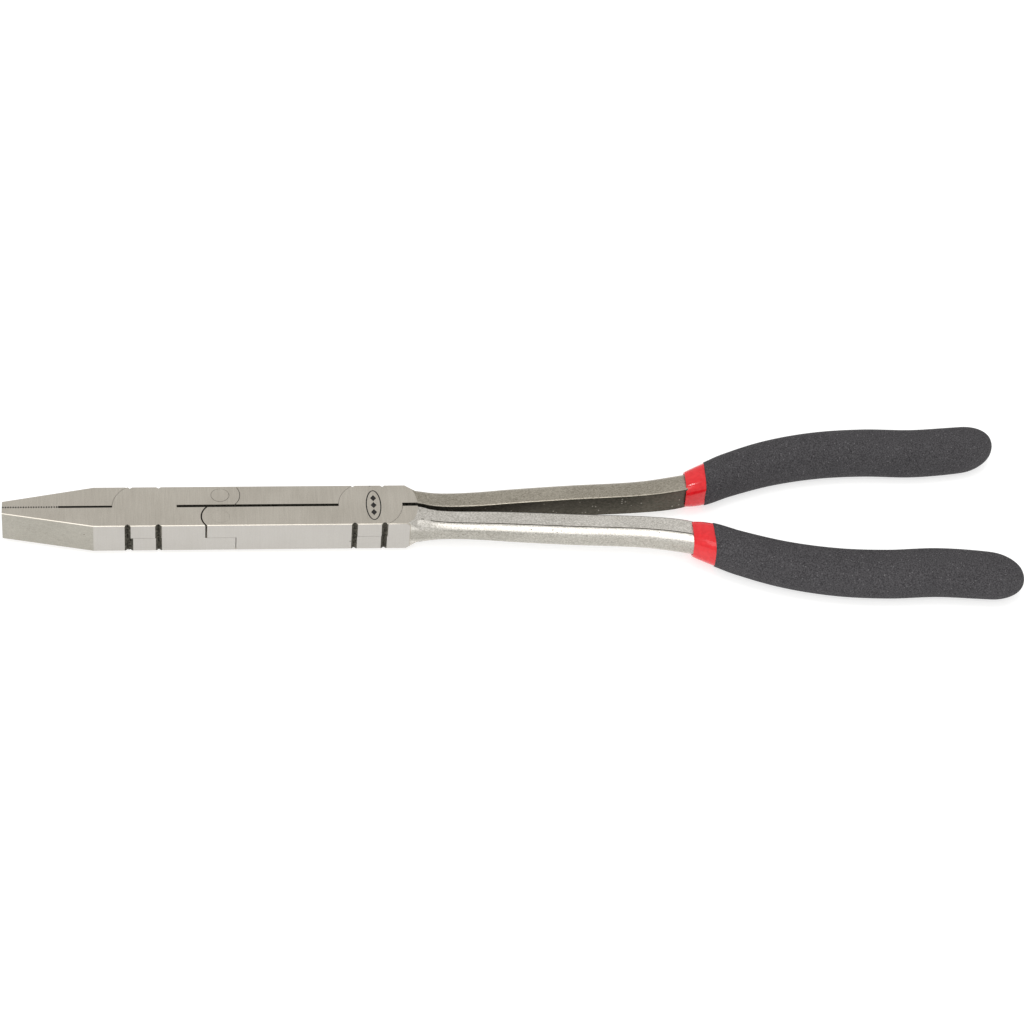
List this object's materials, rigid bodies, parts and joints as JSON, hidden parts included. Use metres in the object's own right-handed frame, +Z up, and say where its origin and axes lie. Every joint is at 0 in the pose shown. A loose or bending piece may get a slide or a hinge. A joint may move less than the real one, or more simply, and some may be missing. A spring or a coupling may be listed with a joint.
{
  "type": "double-joint long-reach flat-nose pliers",
  "caption": "Slim long-reach flat-nose pliers with two crossing joints, a linked flat head, long forged arms and curved foam-dipped grips.",
  "frame": {"origin": "on the bench, under the middle of the tool's bounding box, with the tool lying flat on its grips", "axes": "+X along the tool from jaw tips to grip ends, +Y across it towards the upper grip, +Z up through its thickness"},
  "size_m": [0.3399, 0.0762, 0.0152],
  "materials": {
    "satin_steel": "satin nickel over brushed and forged steel",
    "rivet_steel": "ground flush, satin",
    "red_vinyl": "glossy dipped vinyl",
    "charcoal_foam": "matte foamed vinyl with a fine speckle"
  },
  "bodies": {
    "lower_handle": {"lower_handle": "satin_steel", "lower_sleeve": "red_vinyl", "lower_grip": "charcoal_foam", "rear_pivot_rivet": "rivet_steel", "upper_link_rivet": "rivet_steel"},
    "upper_handle": {"upper_handle": "satin_steel", "upper_sleeve": "red_vinyl", "upper_grip": "charcoal_foam", "lower_link_rivet": "rivet_steel"},
    "lower_jaw": {"lower_jaw": "satin_steel", "front_pivot_rivet": "rivet_steel"},
    "upper_jaw": {"upper_jaw": "satin_steel"}
  },
  "joints": [
    {"name": "handle_pivot", "type": "hinge", "parent": "lower_handle", "child": "upper_handle", "pos_m": [-0.0478, 0, 0.00761], "axis": [0, 0, 1], "range_deg": [0, 18]},
    {"name": "upper_link_pivot", "type": "hinge", "parent": "lower_handle", "child": "lower_jaw", "pos_m": [-0.0979, 0.005, 0.00761], "axis": [0, 0, 1], "range_deg": [0, 27.6]},
    {"name": "lower_link_pivot", "type": "hinge", "parent": "upper_handle", "child": "upper_jaw", "pos_m": [-0.0979, -0.005, 0.00761], "axis": [0, 0, 1], "range_deg": [-27.6, 0]}
  ],
  "couplings": [
    {"joint": "upper_link_pivot", "follows": "handle_pivot", "ratio": 1.53},
    {"joint": "lower_link_pivot", "follows": "handle_pivot", "ratio": -1.53}
  ]
}
